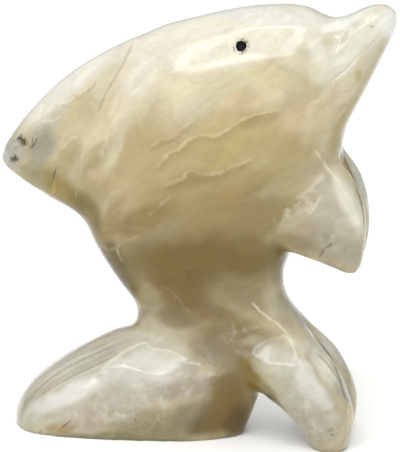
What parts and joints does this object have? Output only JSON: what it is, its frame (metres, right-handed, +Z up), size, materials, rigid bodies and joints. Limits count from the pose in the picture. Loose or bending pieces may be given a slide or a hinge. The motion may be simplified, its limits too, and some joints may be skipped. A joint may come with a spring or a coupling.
{
  "type": "carved onyx dolphin figurine",
  "caption": "Polished figurine of a leaping dolphin carved from one block of banded onyx, standing on a broad tail foot and its flukes.",
  "frame": {"origin": "on the ground, under the middle of the figurine's bounding box", "axes": "+Z up, from the sole to the beak; +X along the figurine's length, from the dorsal fin to the beak and flukes; Y through its thickness, with the pictured left flank towards -Y"},
  "size_m": [0.09, 0.026, 0.1023],
  "materials": {
    "banded_onyx": "polished banded onyx in cream, tan, olive and cloudy grey-white"
  },
  "bodies": {
    "root": {"carved_dolphin": "banded_onyx"}
  },
  "joints": []
}
